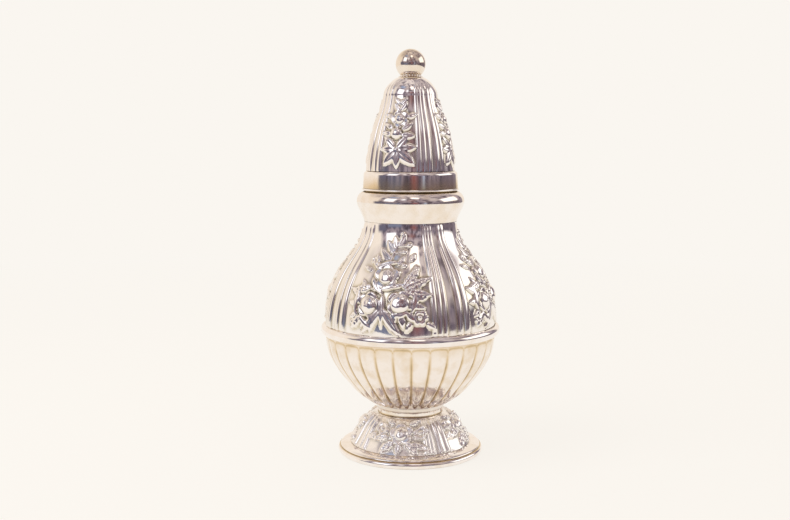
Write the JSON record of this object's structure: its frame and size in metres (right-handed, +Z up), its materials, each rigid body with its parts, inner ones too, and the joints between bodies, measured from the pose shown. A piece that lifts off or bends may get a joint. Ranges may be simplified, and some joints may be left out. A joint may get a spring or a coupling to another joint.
{
  "type": "sugar caster",
  "caption": "Baluster silver sugar caster with domed foot, gadrooned bowl, pear-shaped chased body, bulged neck ring and a tall lift-off domed cover with ball finial.",
  "frame": {"origin": "centre of the flat face under the foot's rim wire", "axes": "+Z up along the axis of revolution, towards the finial; -Y towards the viewer of the front flower panel; +X to that viewer's right"},
  "size_m": [0.085, 0.085, 0.1902],
  "materials": {
    "polished_silver": "polished, raised and chased sheet silver with dark tarnish left in the recesses",
    "plain_silver": "plain turned silver, lightly tarnished, not buffed"
  },
  "bodies": {
    "base": {"foot_rim_wire": "polished_silver", "foot_step": "polished_silver", "foot_dome": "polished_silver", "foot_neck": "plain_silver", "bowl_collar": "polished_silver", "lower_bowl": "polished_silver", "girdle_wire": "polished_silver", "upper_body": "polished_silver", "neck_moulding": "polished_silver", "neck_bezel": "plain_silver"},
    "cover": {"cover_rim_wire": "polished_silver", "cover_band": "polished_silver", "cover_dome": "polished_silver", "cover_sleeve": "plain_silver", "finial_collar": "polished_silver", "finial_pin": "plain_silver", "finial_ball_lower": "polished_silver", "finial_ball_upper": "polished_silver"}
  },
  "joints": [
    {"name": "cover_lift", "type": "slide", "parent": "base", "child": "cover", "axis": [0, 0, 1], "range_m": [0, 0.08]}
  ]
}
